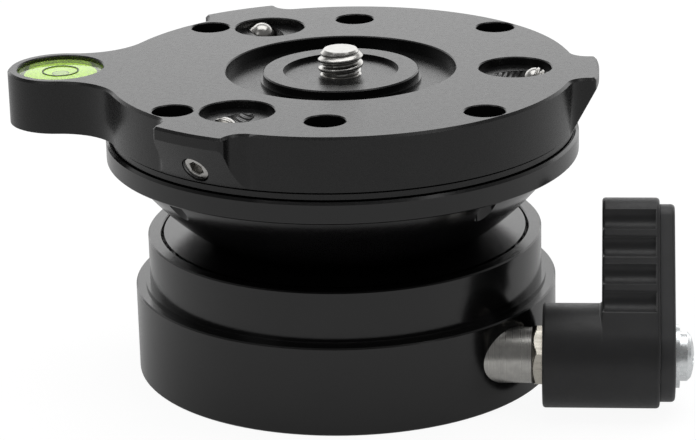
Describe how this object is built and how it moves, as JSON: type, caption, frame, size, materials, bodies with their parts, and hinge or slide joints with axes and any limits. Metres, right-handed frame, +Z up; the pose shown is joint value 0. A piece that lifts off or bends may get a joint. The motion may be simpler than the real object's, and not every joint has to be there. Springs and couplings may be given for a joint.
{
  "type": "leveling base",
  "caption": "Half-ball leveling base with a round platform, camera stud, bubble vial arm, slanted lock screws and a fluted side lever that clamps the ball.",
  "frame": {"origin": "centre of the underside of the base, at the mouth of the tripod thread", "axes": "+Z up along the base axis, +X along the lever shaft towards the lever"},
  "size_m": [0.0964, 0.067, 0.046],
  "materials": {
    "anodised_black": "satin black anodised",
    "anodised_seat": "satin black anodised",
    "anodised_plate": "fine bead-blasted black anodised",
    "stainless": "bright stainless",
    "turned_steel": "turned steel",
    "nickel": "nickel plated",
    "zinc": "zinc plated",
    "black_steel": "black oxide",
    "bronze": "plain bronze",
    "lever_plastic": "moulded, fine matt grain",
    "vial_clear": "clear acrylic",
    "vial_green": "lime green fluid",
    "vial_air": "air bubble",
    "vial_line": "dark printed ring"
  },
  "bodies": {
    "base": {"base_body": "anodised_black", "seat_ring": "anodised_seat", "bottom_cover": "anodised_black", "thread_insert": "stainless", "cover_screws": "black_steel", "shaft_bush": "turned_steel", "fulcrum_pin": "turned_steel"},
    "lever": {"cam_shaft": "nickel", "lever_knob": "lever_plastic", "lever_cover": "lever_plastic", "lever_washer": "zinc", "lever_screw": "zinc"},
    "yoke": {"clamp_yoke": "black_steel"},
    "draw": {"clamp_dome": "turned_steel", "dome_washer": "turned_steel", "draw_bolt": "turned_steel", "cross_nut": "turned_steel"},
    "liner": {"friction_liner": "bronze"},
    "slip": {"slip_washer": "bronze"},
    "head": {"half_ball": "anodised_black", "top_plate": "anodised_plate", "plate_screws": "black_steel", "stud_hub": "anodised_plate", "hub_nut": "black_steel", "camera_stud": "stainless", "vial_cup": "vial_clear", "vial_fluid": "vial_green", "vial_bubble": "vial_air", "vial_mark": "vial_line"},
    "screw_front": {"lock_screw_front": "stainless"},
    "screw_right": {"lock_screw_right": "stainless"},
    "screw_back": {"lock_screw_back": "stainless"}
  },
  "joints": [
    {"name": "lever_turn", "type": "hinge", "parent": "base", "child": "lever", "pos_m": [0, -0.018, 0.0073], "axis": [1, 0, 0], "range_deg": [-60, 60]},
    {"name": "yoke_rock", "type": "hinge", "parent": "base", "child": "yoke", "pos_m": [0, 0.018, 0.0073], "axis": [1, 0, 0], "range_deg": [-1, 1]},
    {"name": "nut_turn", "type": "hinge", "parent": "yoke", "child": "draw", "pos_m": [0, 0, 0.01021], "axis": [1, 0, 0], "range_deg": [-1, 1]},
    {"name": "tilt_x", "type": "hinge", "parent": "base", "child": "liner", "pos_m": [0, 0, 0.044], "axis": [1, 0, 0], "range_deg": [-10, 10]},
    {"name": "tilt_y", "type": "hinge", "parent": "liner", "child": "slip", "pos_m": [0, 0, 0.044], "axis": [0, 1, 0], "range_deg": [-10, 10]},
    {"name": "pan", "type": "hinge", "parent": "slip", "child": "head", "pos_m": [0, 0, 0.044], "axis": [0, 0, 1], "range_deg": [-170, 120]},
    {"name": "lock_front", "type": "slide", "parent": "head", "child": "screw_front", "axis": [0.4415, 0.7647, 0.4695], "range_m": [-0.001, 0.002]},
    {"name": "lock_right", "type": "slide", "parent": "head", "child": "screw_right", "axis": [-0.8829, 0, 0.4695], "range_m": [-0.001, 0.002]},
    {"name": "lock_back", "type": "slide", "parent": "head", "child": "screw_back", "axis": [0.4415, -0.7647, 0.4695], "range_m": [-0.001, 0.002]}
  ],
  "couplings": [
    {"joint": "yoke_rock", "follows": "lever_turn", "ratio": 0.015},
    {"joint": "nut_turn", "follows": "lever_turn", "ratio": -0.015}
  ]
}
